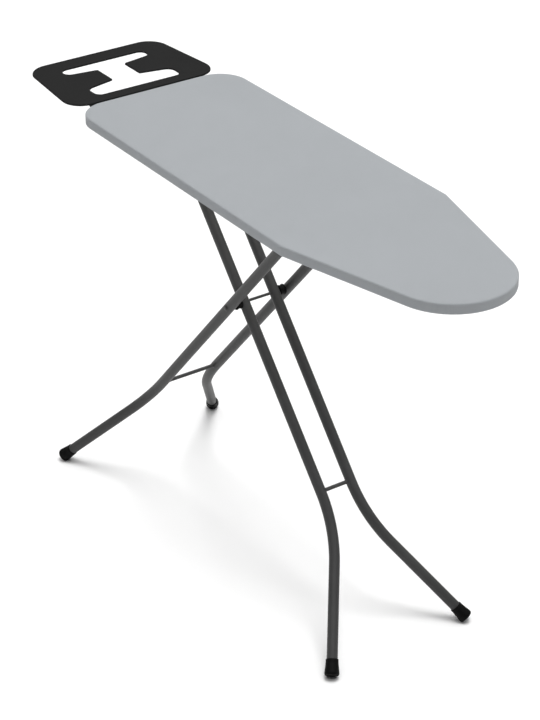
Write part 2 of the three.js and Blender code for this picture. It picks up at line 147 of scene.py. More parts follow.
def joined(name, pieces):
    take(pieces[0])
    for piece in pieces[1:]:
        piece.select_set(True)
    if len(pieces) > 1:
        bpy.ops.object.join()
    pieces[0].name = pieces[0].data.name = name
    return pieces[0]


def turned(name, profile, sides=48):
    # a turned piece along z: each step is (radius, height), from one end to the other
    letGo()
    radius, height = profile[0]
    bpy.ops.mesh.primitive_circle_add(vertices=sides, radius=radius, fill_type="NGON")
    piece = bpy.context.object
    openUp(piece, everything=True)
    bpy.ops.transform.translate(value=(0, 0, height))
    for nextRadius, nextHeight in profile[1:]:
        pull(z=nextHeight - height)
        ratio = nextRadius / radius
        bpy.ops.transform.resize(value=(ratio, ratio, 1), center_override=(0, 0, nextHeight))
        radius, height = nextRadius, nextHeight
    letGo()
    cleanUp(piece, 0.00002)
    piece.name = piece.data.name = name
    return piece


class Nodes:
    # a short way to write a node tree
    def __init__(self, name):
        self.material = bpy.data.materials.new(name)
        self.material.use_nodes = True
        self.tree = self.material.node_tree
        self.shader = self.tree.nodes["Principled BSDF"]
        self.place = self.add("ShaderNodeTexCoord").outputs["Object"]

    def add(self, kind, inputs=None, **settings):
        node = self.tree.nodes.new(kind)
        for key, value in settings.items():
            setattr(node, key, value)
        for key, value in (inputs or {}).items():
            self.join(value, node.inputs[key])
        return node

    def join(self, value, socket):
        if isinstance(value, bpy.types.NodeSocket):
            self.tree.links.new(value, socket)
        else:
            socket.default_value = value

    def math(self, operation, first, second=0.0):
        return self.add("ShaderNodeMath", {0: first, 1: second}, operation=operation).outputs[0]

    def noise(self, scale, detail=3.0, rough=0.5, place=None):
        inputs = {"Vector": place or self.place, "Scale": scale, "Detail": detail, "Roughness": rough}
        return self.add("ShaderNodeTexNoise", inputs).outputs["Fac"]

    def remap(self, value, low, high, toLow, toHigh):
        inputs = {"Value": value, "From Min": low, "From Max": high, "To Min": toLow, "To Max": toHigh}
        return self.add("ShaderNodeMapRange", inputs).outputs["Result"]

    def blend(self, amount, first, second):
        node = self.add("ShaderNodeMix", data_type="RGBA")
        self.join(amount, node.inputs["Factor"])
        for socket, colour in ((node.inputs[6], first), (node.inputs[7], second)):
            self.join(colour, socket)
        return node.outputs[2]

    def bump(self, height, strength, distance, under=None):
        inputs = {"Height": height, "Strength": strength, "Distance": distance}
        if under:
            inputs["Normal"] = under
        return self.add("ShaderNodeBump", inputs).outputs["Normal"]

    def finish(self, **sockets):
        for key, value in sockets.items():
            self.join(value, self.shader.inputs[key.replace("_", " ")])
        return self.material


def grey(level, warmth=0.0):
    return (level * (1 + warmth), level, level * (1 - warmth), 1)


def shade(colour, ratio):
    return (*[part * ratio for part in colour], 1)


# uneven: how far patches stray from the colour; gap and slub: shades of the weave's gaps and thick threads
cottonLook = {"colour": (0.362, 0.379, 0.396), "uneven": 0.015, "gap": 0.6, "slub": 1.15, "thread": 0.0011,
              "wander": 0.0012, "weaveDepth": 0.00012}


def cottonFinish():
    n = Nodes("cottonCover")
    colour = cottonLook["colour"]
    uneven = cottonLook["uneven"]
    turns = 2 * math.pi / cottonLook["thread"]
    axes = n.add("ShaderNodeSeparateXYZ", {0: n.place})
    wander = n.remap(n.noise(18), 0, 1, -cottonLook["wander"], cottonLook["wander"])
    waves = []
    for i in range(3):
        waves.append(n.math("SINE", n.math("MULTIPLY", n.math("ADD", axes.outputs[i], wander), turns)))
    over = n.math("MULTIPLY", waves[0], waves[1])
    weave = n.math("ADD", over, n.math("MULTIPLY", waves[2], n.math("ADD", waves[0], waves[1])))
    slub = n.noise(260, 2)
    fuzz = n.noise(1500, 3, 0.6)
    patches = n.noise(5, 4, 0.55)
    cloth = n.blend(n.remap(patches, 0.3, 0.7, 0, 1), shade(colour, 1 - uneven), shade(colour, 1 + uneven))
    threads = n.blend(n.remap(weave, -1.2, 1.2, 0.16, 0), cloth, shade(colour, cottonLook["gap"]))
    slubbed = n.blend(n.remap(slub, 0.55, 0.8, 0, 0.18), threads, shade(colour, cottonLook["slub"]))
    hairs = n.bump(fuzz, 0.25, 0.0002)
    surface = n.bump(weave, 0.35, cottonLook["weaveDepth"], hairs)
    roughness = n.remap(slub, 0, 1, 0.86, 0.98)
    return n.finish(Base_Color=slubbed, Roughness=roughness, Normal=surface, Sheen_Weight=0.12,
                    Sheen_Roughness=0.5, Specular_IOR_Level=0.12)


def threadFinish():
    # twisted seam thread, a little lighter than the cloth
    n = Nodes("seamThread")
    twist = n.noise(2400, 2, 0.5)
    colour = n.blend(twist, (0.42, 0.43, 0.44, 1), (0.58, 0.59, 0.60, 1))
    roughness = n.remap(twist, 0, 1, 0.6, 0.8)
    surface = n.bump(twist, 0.5, 0.0001)
    return n.finish(Base_Color=colour, Roughness=roughness, Normal=surface, Sheen_Weight=0.2,
                    Specular_IOR_Level=0.2)


def feltFinish():
    n = Nodes("needledFelt")
    fibres = n.noise(900, 6, 0.7)
    tufts = n.noise(110, 3)
    colour = n.blend(fibres, (0.55, 0.52, 0.46, 1), (0.78, 0.75, 0.69, 1))
    colour = n.blend(n.remap(tufts, 0.6, 0.75, 0, 0.5), colour, (0.4, 0.4, 0.42, 1))
    surface = n.bump(fibres, 0.6, 0.0006, n.bump(tufts, 0.4, 0.001))
    roughness = n.remap(tufts, 0, 1, 0.9, 1.0)
    return n.finish(Base_Color=colour, Roughness=roughness, Normal=surface, Sheen_Weight=0.3,
                    Specular_IOR_Level=0.1)


def coatedSteel(name, level, roughness, speckle=0.1, wear=0.0, gloss=0.4, warmth=0.0):
    # powder coating: orange peel, fine speckle, a few lighter rubs
    n = Nodes(name)
    peel = n.noise(420, 2, 0.5)
    grit = n.noise(2600, 2, 0.6)
    cloud = n.noise(9, 4, 0.6)
    rubs = n.noise(60, 5, 0.7)
    colour = n.blend(n.remap(cloud, 0.3, 0.7, 0, 1), grey(level * 0.9, warmth), grey(level * 1.1, warmth))
    colour = n.blend(n.remap(grit, 0.5, 0.75, 0, speckle), colour, grey(level * 1.9, warmth))
    colour = n.blend(n.remap(rubs, 0.66, 0.78, 0, wear), colour, grey(min(1, level * 2.6), warmth))
    surface = n.bump(grit, 0.12, 0.0001, n.bump(peel, 0.35, 0.0003))
    clouded = n.remap(cloud, 0.3, 0.7, roughness - 0.05, roughness + 0.05)
    dulled = n.math("ADD", clouded, n.remap(rubs, 0.6, 0.8, 0, 0.08))
    return n.finish(Base_Color=colour, Roughness=dulled, Normal=surface, Specular_IOR_Level=gloss)


def brightSteel():
    # drawn and zinc plated: lines along y, faint bloom
    n = Nodes("brightSteel")
    stretched = n.add("ShaderNodeMapping", {"Vector": n.place, "Scale": (1.0, 0.04, 1.0)}).outputs[0]
    lines = n.noise(1800, 3, 0.6, stretched)
    bloom = n.noise(70, 4, 0.6)
    colour = n.blend(n.remap(bloom, 0.35, 0.7, 0, 1), (0.52, 0.54, 0.56, 1), (0.68, 0.69, 0.70, 1))
    colour = n.blend(n.remap(lines, 0.5, 0.8, 0, 0.4), colour, (0.38, 0.39, 0.41, 1))
    surface = n.bump(lines, 0.15, 0.0001)
    roughness = n.remap(bloom, 0.3, 0.7, 0.24, 0.42)
    return n.finish(Base_Color=colour, Roughness=roughness, Normal=surface, Metallic=1.0)


def blackPlastic():
    n = Nodes("mouldedPlastic")
    grain = n.noise(1900, 3, 0.6)
    flow = n.noise(35, 4, 0.6)
    dust = n.noise(140, 5, 0.7)
    colour = n.blend(n.remap(flow, 0.3, 0.7, 0, 1), grey(0.002), grey(0.004))
    colour = n.blend(n.remap(dust, 0.62, 0.8, 0, 0.15), colour, grey(0.02, 0.04))
    surface = n.bump(grain, 0.3, 0.00015)
    roughness = n.remap(dust, 0.3, 0.8, 0.5, 0.72)
    return n.finish(Base_Color=colour, Roughness=roughness, Normal=surface, Specular_IOR_Level=0.09)


finishes = {
    "cotton_cover": cottonFinish(),
    "felt_pad": feltFinish(),
    "deck_steel": coatedSteel("deckSteel", 0.33, 0.5, speckle=0.12, wear=0.1, warmth=-0.01),
    "zinc_steel": coatedSteel("greyCoatedSteel", 0.36, 0.48, speckle=0.1, wear=0.15, warmth=-0.01),
    "leg_coating": coatedSteel("legCoating", 0.047, 0.5, speckle=0.1, wear=0.12, gloss=0.3),
    "black_coating": coatedSteel("restCoating", 0.0145, 0.7, speckle=0.12, wear=0.1, gloss=0.1),
    "bright_steel": brightSteel(),
    "black_plastic": blackPlastic(),
}
print("finishes made:", len(finishes))


coverLow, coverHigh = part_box("cover")
topShape = {"noseRadius": 0.1225, "cornerRadius": 0.065, "taper": math.radians(14.4), "noseSides": 256,
            "cornerSteps": 34}


def topOutline(name, inset, z, step=None):
    # the closed outline of the top, moved inwards by inset: the nose's arc, then on each side the taper,
    # the long side and the rear corner, with its long edges cut up where a step is given
    radius = topShape["noseRadius"] - inset
    corner = topShape["cornerRadius"] - inset
    half = coverHigh.y - inset
    taper = topShape["taper"]
    noseX = coverHigh.x - topShape["noseRadius"]
    tangentX = noseX + radius * math.sin(taper)
    tangentY = radius * math.cos(taper)
    rearX = coverLow.x + inset
    letGo()
    bpy.ops.mesh.primitive_circle_add(vertices=topShape["noseSides"], radius=radius, location=(noseX, 0, z),
                                      fill_type="NOTHING")
    piece = settle(bpy.context.object, name)
    openUp(piece, everything=True)
    bpy.ops.mesh.bisect(plane_co=(tangentX, 0, z), plane_no=(1, 0, 0), clear_inner=True)
    run = (half - tangentY) / math.tan(taper)
    for side in (-1, 1):
        pick(piece, "VERT", lambda v: v.co.x < tangentX + sameSpot and v.co.y * side > 0)
        alongTaper = (-run, side * (half - tangentY), 0)
        alongSide = (rearX + corner - (tangentX - run), 0, 0)
        bpy.ops.mesh.extrude_vertices_move(TRANSFORM_OT_translate={"value": alongTaper})
        bpy.ops.mesh.extrude_vertices_move(TRANSFORM_OT_translate={"value": alongSide})
        bpy.ops.mesh.spin(steps=topShape["cornerSteps"], angle=math.radians(90), axis=(0, 0, -side),
                          center=(rearX + corner, side * (half - corner), z))
    pick(piece, "VERT", lambda v: v.co.x < rearX + sameSpot)
    bpy.ops.mesh.edge_face_add()
    if step:
        longEdges = [(middle(e), e.calc_length()) for e in bmesh.from_edit_mesh(piece.data).edges]
        for place, length in longEdges:
            if length > 3 * step:
                pick(piece, "EDGE", lambda e: (middle(e) - place).length < sameSpot)
                bpy.ops.mesh.subdivide(number_cuts=round(length / step) - 1)
    letGo()
    return piece


def gridCuts(piece, step):
    # even cuts both ways, so that the cloth can bend
    openUp(piece, everything=True)
    for axis, low, high in ((0, coverLow.x, coverHigh.x), (1, coverLow.y, coverHigh.y)):
        count = round((high - low) / step)
        for i in range(1, count):
            point, normal = [0, 0, 0], [0, 0, 0]
            point[axis] = low + (high - low) * i / count
            normal[axis] = 1
            bpy.ops.mesh.select_all(action="SELECT")
            bpy.ops.mesh.bisect(plane_co=point, plane_no=normal)
    letGo()


def outlinePlace(x, y):
    # how far inside the outline a point lies, its run round the outline from the nose,
    # and how curved the outline is there
    corner, radius, taper = topShape["cornerRadius"], topShape["noseRadius"], topShape["taper"]
    aside, ahead = abs(y), x - (coverHigh.x - radius)
    across, behind = coverHigh.y - aside, x - coverLow.x
    noseRun = (math.pi / 2 - taper) * radius
    taperRun = (coverHigh.y - radius * math.cos(taper)) / math.sin(taper)
    sideRun = noseRun + taperRun + radius * math.sin(taper) - taperRun * math.cos(taper)
    cornerRun = sideRun + (coverHigh.x - radius) - (coverLow.x + corner)
    slant = radius - (ahead * math.sin(taper) + aside * math.cos(taper))
    places = [(slant, noseRun - ahead * math.cos(taper) + aside * math.sin(taper), 0.0),
              (across, sideRun - ahead, 0.0),
              (behind, cornerRun + corner * math.pi / 2 + coverHigh.y - corner - aside, 0.0)]
    if behind < corner and across < corner:
        turn = math.atan2(corner - behind, corner - across)
        places.append((corner - math.hypot(corner - behind, corner - across), cornerRun + corner * turn,
                       math.sin(2 * turn)))
    angle = math.atan2(aside, ahead)
    if angle < math.pi / 2 - taper:
        noseShare = angle * radius / noseRun
        places.append((radius - math.hypot(ahead, aside), angle * radius, 1 - noseShare ** 4))
    return min(places)


# hemRings are the steps of the hem from the edge inwards; gatherWaves are (height, length, shift)
coverCloth = {
    "thickness": 0.0009, "edge": 0.0036, "lowEdge": 0.0022, "grid": 0.012, "step": 0.004, "pullIn": 0.00035,
    "hemRings": (0.0065, 0.0065, 0.0045, 0.0010, 0.0012, 0.0014, 0.0016, 0.0017, 0.0016),
    "casing": 0.0075, "puff": 0.0015, "armRamp": 0.004, "gather": 0.0024, "gatherPitch": 0.019,
    "gatherWaves": [(0.45, 1.0, 0.0), (0.3, 2.7, 1.3)], "straightShare": 0.3,
}
hemWidth = sum(coverCloth["hemRings"])
armLow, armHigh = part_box("rest_arm_left")


def hemRise(x, y):
    # the drawn-in hem: gathers that grow inwards, deeper round the curves, and the casing at its edge
    depth, run, curved = outlinePlace(x, y)
    share = coverCloth["straightShare"]
    turn = 2 * math.pi * run / coverCloth["gatherPitch"]
    wave = 0.5
    for height, length, shift in coverCloth["gatherWaves"]:
        wave += height * math.sin(turn / length + shift)
    rise = coverCloth["gather"] * (share + (1 - share) * curved) * min(1, max(0, depth / hemWidth)) * wave
    casing = coverCloth["casing"]
    intoCasing = (depth - hemWidth + casing) / casing
    if 0 < intoCasing < 1:
        puff = coverCloth["puff"] * (1 - 0.2 * wave) * math.sin(math.pi * intoCasing)
        if x < coverLow.x + 2 * hemWidth:  # pressed flat where an arm of the iron rest passes under it
            puff *= min(1, max(0, armLow.y - abs(y), abs(y) - armHigh.y) / coverCloth["armRamp"])
        rise -= puff
    return rise


# one stitch, repeated round the seam of the casing: steps of (radius, height) and its pitch
stitch = {
    "profile": [(0.00012, -0.0014), (0.00030, -0.0010), (0.00036, 0), (0.00030, 0.0010), (0.00012, 0.0014)],
    "pitch": 0.0042, "sides": 6,
}


def makeStitches():
    seam = topOutline("seam", hemWidth - coverCloth["casing"], coverLow.z, coverCloth["step"])
    points = [v.co for v in seam.data.vertices]
    seamLength = sum((points[e.vertices[0]] - points[e.vertices[1]]).length for e in seam.data.edges)
    take(seam)
    bpy.ops.object.convert(target="CURVE")
    piece = turned("hem_stitches", stitch["profile"], stitch["sides"])
    take(piece)
    piece.rotation_euler = (0, math.pi / 2, 0)
    settle(piece)
    count = int(seamLength / stitch["pitch"])
    applied(piece, "ARRAY", count=count, use_relative_offset=False, use_constant_offset=True,
            constant_offset_displace=(seamLength / count, 0, 0))
    applied(piece, "CURVE", object=seam)
    bpy.data.objects.remove(seam)
    for vertex in piece.data.vertices:
        x, y, z = vertex.co
        vertex.co.z += hemRise(x, y)
    smooth(piece, 60)
    mounted(piece, "top", "cotton_cover", threadFinish())
    return piece


def makeCover():
    piece = topOutline("cover_cloth", 0.0, coverLow.z, coverCloth["step"])
    openUp(piece, everything=True)
    bpy.ops.mesh.edge_face_add()
    pull(z=coverHigh.z - coverLow.z)
    bpy.ops.mesh.select_all(action="SELECT")
    bpy.ops.mesh.normals_make_consistent(inside=False)
    pick(piece, "FACE", lambda f: f.normal.z < -0.9)
    for width in coverCloth["hemRings"]:
        bpy.ops.mesh.inset(thickness=width, depth=0)
    bpy.ops.mesh.delete(type="FACE")  # what is left inside the hem
    pick(piece, "EDGE", lambda e: all(v.co.z > coverHigh.z - sameSpot for v in e.verts)
         and len(e.link_faces) == 2)
    bpy.ops.mesh.bevel(offset=coverCloth["edge"], segments=5, profile=0.5)
    pick(piece, "EDGE", lambda e: all(v.co.z < coverLow.z + sameSpot for v in e.verts)
         and any(abs(f.normal.z) < 0.1 for f in e.link_faces))
    bpy.ops.mesh.bevel(offset=coverCloth["lowEdge"], segments=3, profile=0.5)
    pick(piece, "FACE", lambda f: f.normal.z < -0.9)
    bpy.ops.mesh.hide(unselected=False)  # the hem has its own rings and needs no grid
    gridCuts(piece, coverCloth["grid"])
    openUp(piece)
    bpy.ops.mesh.reveal(select=False)
    letGo()
    for vertex in piece.data.vertices:
        x, y, z = vertex.co
        level = (z - coverLow.z) / (coverHigh.z - coverLow.z)
        if z < coverLow.z + 0.0001:
            vertex.co.z += hemRise(x, y)
        if 0.12 < level < 0.88 and outlinePlace(x, y)[0] < 0.001:
            # drawn tight: the sides pull in a little between the two edges
            vertex.co.y -= math.copysign(coverCloth["pullIn"] * math.sin(math.pi * level), y)
    applied(piece, "SOLIDIFY", thickness=coverCloth["thickness"], offset=-1.0)
    smooth(piece, 50)
    stitches = makeStitches()
    mounted(piece, "top", "cotton_cover", finishes["cotton_cover"], "cover")


padShape = {"inset": 0.0016, "edge": 0.0016, "grid": 0.014, "lump": 0.00018, "lumpWaves": (210, 90, 170)}


def makePad():
    low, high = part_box("pad")
    piece = topOutline("felt_padding", padShape["inset"], low.z)
    openUp(piece, everything=True)
    bpy.ops.mesh.edge_face_add()
    pull(z=high.z - low.z)
    letGo()
    cleanUp(piece)
    openUp(piece)
    pick(piece, "EDGE", lambda e: e.calc_face_angle(0) > 1)
    bpy.ops.mesh.bevel(offset=padShape["edge"], segments=3, profile=0.5)
    gridCuts(piece, padShape["grid"])
    along, bend, across = padShape["lumpWaves"]
    for vertex in piece.data.vertices:
        x, y, z = vertex.co
        lump = 1 + math.sin(x * along + 3 * math.sin(y * bend)) * math.sin(y * across)
        vertex.co.z -= padShape["lump"] * lump
    smooth(piece, 50)
    mounted(piece, "top", "felt_pad", finishes["felt_pad"], "pad")


# stretched hexagonal openings, cut off along the outline of the top
deckMesh = {"hexagon": 0.006, "strand": 0.0011, "stretch": 1.4, "inset": 0.0016, "noseCuts": 17,
            "cornerCuts": 7}


def makeDeck():
    low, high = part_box("mesh_deck")
    hexagon, stretch, inset = deckMesh["hexagon"], deckMesh["stretch"], deckMesh["inset"]
    acrossFlats = math.sqrt(3) * hexagon
    letGo()
    bpy.ops.mesh.primitive_circle_add(vertices=6, radius=hexagon, fill_type="NGON", location=low,
                                      rotation=(0, 0, math.radians(90)))
    piece = settle(bpy.context.object, "expanded_mesh_deck")
    openUp(piece, everything=True)
    bpy.ops.mesh.select_mode(type="FACE")
    bpy.ops.mesh.inset(thickness=deckMesh["strand"] / 2, depth=0)
    bpy.ops.mesh.delete(type="FACE")
    bpy.ops.mesh.select_all(action="SELECT")
    bpy.ops.mesh.duplicate_move(TRANSFORM_OT_translate={"value": (1.5 * hexagon, acrossFlats / 2, 0)})
    bpy.ops.mesh.select_all(action="SELECT")
    bpy.ops.transform.resize(value=(stretch, 1, 1), center_override=low)
    letGo()
    stepX, stepY = 3 * hexagon * stretch, acrossFlats
    for step, axis, span in ((stepX, 0, high.x - low.x), (stepY, 1, high.y - low.y)):
        offset = [0.0, 0.0, 0.0]
        offset[axis] = step
        applied(piece, "ARRAY", count=math.ceil(span / step) + 1, use_relative_offset=False,
                use_constant_offset=True, constant_offset_displace=offset)
    openUp(piece, everything=True)
    bpy.ops.mesh.remove_doubles(threshold=0.0001)
    nose, corner = topShape["noseRadius"], topShape["cornerRadius"]
    sweep = math.pi / 2 - topShape["taper"]
    cuts = []
    for i in range(deckMesh["noseCuts"]):
        angle = sweep * (2 * i / (deckMesh["noseCuts"] - 1) - 1)
        cuts.append((Vector((coverHigh.x - nose, 0, 0)), nose - inset, angle))
    for side in (-1, 1):
        centre = Vector((coverLow.x + corner, side * (coverHigh.y - corner), 0))
        for i in range(deckMesh["cornerCuts"]):
            angle = side * math.pi * (0.5 + 0.5 * i / (deckMesh["cornerCuts"] - 1))
            cuts.append((centre, corner - inset, angle))
    for centre, radius, angle in cuts:
        outwards = Vector((math.cos(angle), math.sin(angle), 0))
        bpy.ops.mesh.select_all(action="SELECT")
        bpy.ops.mesh.bisect(plane_co=centre + outwards * radius, plane_no=outwards, clear_outer=True)
    letGo()
    cleanUp(piece, 0.00008)
    openUp(piece)
    pick(piece, "FACE", lambda f: f.normal.z < 0)
    bpy.ops.mesh.flip_normals()
    letGo()
    for vertex in piece.data.vertices:
        vertex.co.z = high.z
    applied(piece, "SOLIDIFY", thickness=high.z - low.z, offset=-1.0)
    mounted(piece, "top", "deck_steel", finishes["deck_steel"], "mesh_deck")


rimTube = {"radius": 0.006, "inset": 0.0075, "bead": 0.0011}


def makeRim():
    low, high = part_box("rim_tube")
    height = (low.z + high.z) / 2
    piece = topOutline("rim_tube_smooth", rimTube["inset"], height)
    take(piece)
    bpy.ops.object.convert(target="CURVE")
    piece.data.bevel_depth = rimTube["radius"]
    piece.data.bevel_resolution = 5
    take(piece)
    bpy.ops.object.convert(target="MESH")
    letGo()
    # the tube's ends are butted and welded behind the middle of the square end
    bpy.ops.mesh.primitive_torus_add(location=(low.x + rimTube["radius"], 0, height),
                                     rotation=(math.pi / 2, 0, 0), major_radius=rimTube["radius"],
                                     minor_radius=rimTube["bead"], major_segments=40, minor_segments=10)
    piece = joined("rim_tube_smooth", [piece, bpy.context.object])
    settle(piece)
    smooth(piece, 60)
    mounted(piece, "top", "zinc_steel", finishes["zinc_steel"], "rim_tube")


makeCover()
makePad()
print("cover and pad made")
makeDeck()
makeRim()
print("deck and rim tube made")

# the legs are drawn flat, x down the leg from the crossing, then stood at their angle
joints = {joint["name"]: joint for joint in frame["record"]["behaviour"]["joints"]}
rearPin = Vector(joints["leg_fold"]["pos_m"])
crossing = Vector(joints["leg_cross"]["pos_m"])
legAngle = math.atan2(rearPin.z - crossing.z, crossing.x - rearPin.x)
upperArm = (rearPin - crossing).length
legTurn = {"inner": legAngle, "outer": math.pi - legAngle}
legRow = {"inner": 0.0371, "outer": 0.0709}  # from the middle of the board to each tube
legShape = {"radius": 0.011, "wall": 0.001, "overhang": 0.014, "bendStart": 0.4155, "bendRadius": 0.321,
            "splay": math.radians(26.3), "footHeight": 0.008, "footInset": 0.0123, "sides": 48,
            "bendSteps": 20}


def stood(piece, kind, name=None):
    take(piece)
    piece.rotation_mode = "XYZ"
    piece.rotation_euler = (0, legTurn[kind], 0)
    piece.location = crossing
    return settle(piece, name)


def mirrored(piece, name):
    take(piece)
    bpy.ops.object.duplicate()
    copy = settle(bpy.context.object, name)
    copy.scale = (1, -1, 1)
    settle(copy)
    mesh = bmesh.new()
    mesh.from_mesh(copy.data)
    if mesh.calc_volume(signed=True) < 0:
        openUp(copy, everything=True)
        bpy.ops.mesh.flip_normals()
        letGo()
    mesh.free()
    return copy


def mountPair(left, name, kind, slotName, node, degrees=35):
    # the left piece and its mirror image, each in place of its own part
    right = mirrored(left, name + "_right")
    for piece, sideName in ((left, "left"), (right, "right")):
        smooth(piece, degrees)
        mounted(piece, f"{kind}_legs", slotName, finishes[slotName], f"{node}_{sideName}")


def acrossBoard(piece, x=0.0):  # a turned piece laid along y
    take(piece)
    piece.rotation_euler = (-math.pi / 2, 0, 0)
    piece.location = (x, 0, 0)
    return settle(piece)


def footPoint(kind):
    # the end of the leg's middle line, and the way back up the tube
    reach = (crossing.z - legShape["footHeight"]) / math.sin(legAngle)
    splay, radius = legShape["splay"], legShape["bendRadius"]
    bendX = legShape["bendStart"] + radius * math.sin(splay)
    bendY = legRow[kind] + radius * (1 - math.cos(splay))
    end = Vector((reach, bendY + (reach - bendX) * math.tan(splay), 0))
    return end, Vector((-math.cos(splay), -math.sin(splay), 0)), (reach - bendX) / math.cos(splay)


def makeLeg(kind):
    row, splay, radius = legRow[kind], legShape["splay"], legShape["bendRadius"]
    start = -upperArm - legShape["overhang"]
    letGo()
    bpy.ops.mesh.primitive_circle_add(vertices=legShape["sides"], radius=legShape["radius"],
                                      location=(start, row, 0), rotation=(0, math.pi / 2, 0),
                                      fill_type="NOTHING")
    leg = settle(bpy.context.object, f"{kind}_tube_left")
    openUp(leg, everything=True)
    pull(x=legShape["bendStart"] - start)
    bpy.ops.mesh.spin(steps=legShape["bendSteps"], angle=splay, axis=(0, 0, -1),
                      center=(legShape["bendStart"], row + radius, 0))
    length = footPoint(kind)[2] - legShape["footInset"]
    pull(x=length * math.cos(splay), y=length * math.sin(splay))
    letGo()
    cleanUp(leg)
    stood(leg, kind)
    other = mirrored(leg, f"{kind}_tube_right")
    cleanUp(other)
    for tube, sideName in ((leg, "left"), (other, "right")):
        applied(tube, "SOLIDIFY", thickness=legShape["wall"], offset=-1.0)
        smooth(tube, 40)
        mounted(tube, f"{kind}_legs", "leg_coating", finishes["leg_coating"], f"{kind}_leg_{sideName}")


# steps of (radius, distance up from the sole), then the shallow grip flutes round the flare
footCap = {
    "profile": [(0.004, -0.0002), (0.0095, 0.0), (0.0126, 0.0004), (0.0140, 0.0014), (0.0147, 0.003),
                (0.0149, 0.005), (0.0148, 0.007), (0.0144, 0.0115), (0.0133, 0.0215), (0.01265, 0.0282),
                (0.01275, 0.0288), (0.0128, 0.0297), (0.01275, 0.0319), (0.0125, 0.0326),
                (0.0121, 0.0329), (0.01135, 0.0329), (0.0112, 0.0324), (0.0112, 0.0125), (0.002, 0.0125)],
    "sides": 96, "flutes": (0.0075, 0.0265), "fluteFrom": 0.0125, "fluteDepth": 0.00025, "fluteCount": 12,
}


def makeFoot(kind):
    end, up = footPoint(kind)[:2]
    low, high = footCap["flutes"]
    foot = turned(f"{kind}_foot_cap_left", footCap["profile"], footCap["sides"])
    for vertex in foot.data.vertices:
        x, y, z = vertex.co
        radius = math.hypot(x, y)
        if low < z < high and radius > footCap["fluteFrom"]:
            fade = math.sin(math.pi * (z - low) / (high - low))
            around = 0.5 + 0.5 * math.cos(footCap["fluteCount"] * math.atan2(y, x))
            depth = footCap["fluteDepth"] * fade * around
            vertex.co.x -= depth * x / radius
            vertex.co.y -= depth * y / radius
    take(foot)
    foot.rotation_mode = "QUATERNION"
    foot.rotation_quaternion = up.to_track_quat("Z", "Y")
    foot.location = end
    settle(foot)
    stood(foot, kind)
    openUp(foot, everything=True)
    bpy.ops.mesh.bisect(plane_co=(0, 0, 0.0001), plane_no=(0, 0, 1), clear_inner=True, use_fill=True)
    letGo()
    cleanUp(foot, 0.00002)
    mountPair(foot, f"{kind}_foot_cap", kind, "black_plastic", f"{kind}_foot", 32)


plugProfile = [(0.0095, 0.007), (0.0097, 0.0), (0.0110, 0.0), (0.0111, -0.0012), (0.0106, -0.0024),
               (0.0092, -0.0030), (0.0070, -0.0032), (0.0060, -0.0026), (0.0020, -0.0024)]


def makePlug(kind):
    plug = turned(f"{kind}_tube_plug_left", plugProfile)
    take(plug)
    plug.rotation_euler = (0, math.pi / 2, 0)
    plug.location = (-upperArm - legShape["overhang"], legRow[kind], 0)
    stood(settle(plug), kind)
    mountPair(plug, f"{kind}_tube_plug", kind, "black_plastic", f"{kind}_leg_plug")


crossbar = {"at": 0.413, "radius": 0.004, "bead": 0.0022, "beadLength": 0.0042}


def makeCrossbar(kind):
    # a rod with a weld fillet where it meets each tube
    half = legRow[kind] - legShape["radius"] + legShape["wall"]
    radius, bead, length = crossbar["radius"], crossbar["bead"], crossbar["beadLength"]
    fillet = [(radius + bead * (1 - t) ** 2, half - length * t) for t in (0.0, 0.25, 0.5, 0.75, 1.0)]
    profile = fillet + [(radius * 0.999, 0)] + [(r, -h) for r, h in reversed(fillet)]
    bar = acrossBoard(turned(f"{kind}_crossbar_rod", profile, 32), x=crossbar["at"])
    stood(bar, kind)
    smooth(bar, 50)
    mounted(bar, f"{kind}_legs", "leg_coating", finishes["leg_coating"], f"{kind}_crossbar")


for kind in ("inner", "outer"):
    makeLeg(kind)
    makeFoot(kind)
    makePlug(kind)
    makeCrossbar(kind)
print("leg frames made")

# turned hardware on the two frames: steps of (radius, distance from the middle of the board)
outerFace = legRow["outer"] + legShape["radius"]
axleOverhang = 0.0012
axleEnd = outerFace + axleOverhang
axleProfile = [(0.0024, -axleEnd), (0.003, -axleEnd + 0.0005), (0.003, -0.03), (0.003, 0.03),
               (0.003, axleEnd - 0.0005), (0.0024, axleEnd)]
spacerProfile = [(0.0034, 0.0462), (0.0098, 0.0462), (0.0112, 0.0468), (0.0115, 0.0476), (0.0112, 0.0490),
                 (0.0104, 0.0500), (0.0102, 0.0530), (0.0104, 0.0560), (0.0114, 0.0572), (0.0115, 0.0588),
                 (0.0110, 0.0595), (0.0034, 0.0595), (0.0033, 0.0462)]
axleCapProfile = [(0.0034, outerFace + 0.0004), (0.0060, outerFace + 0.0004), (0.0062, outerFace + 0.0007),
                  (0.0061, outerFace + 0.0012), (0.0054, outerFace + 0.0019), (0.0042, outerFace + 0.0024),
                  (0.0028, outerFace + 0.0027), (0.0010, outerFace + 0.0028)]
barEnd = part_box("slide_bar")[1].y
slideBarProfile = [(0.0042, -barEnd), (0.005, -barEnd + 0.0009), (0.005, -0.05), (0.005, 0.05),
                   (0.005, barEnd - 0.0009), (0.0042, barEnd)]
glideProfile = [(0.0053, 0.0822), (0.0090, 0.0822), (0.0095, 0.0827), (0.0095, 0.0850), (0.0091, 0.0856),
                (0.0074, 0.0856), (0.0074, 0.0884), (0.0091, 0.0884), (0.0095, 0.0889), (0.0095, 0.0903),
                (0.0090, 0.0908), (0.0053, 0.0908), (0.0053, 0.0822)]
barCapProfile = [(0.0053, 0.1035), (0.0071, 0.1035), (0.0075, 0.1039), (0.0075, 0.1096), (0.0070, 0.1108),
                 (0.0056, 0.1115), (0.0010, 0.1117)]


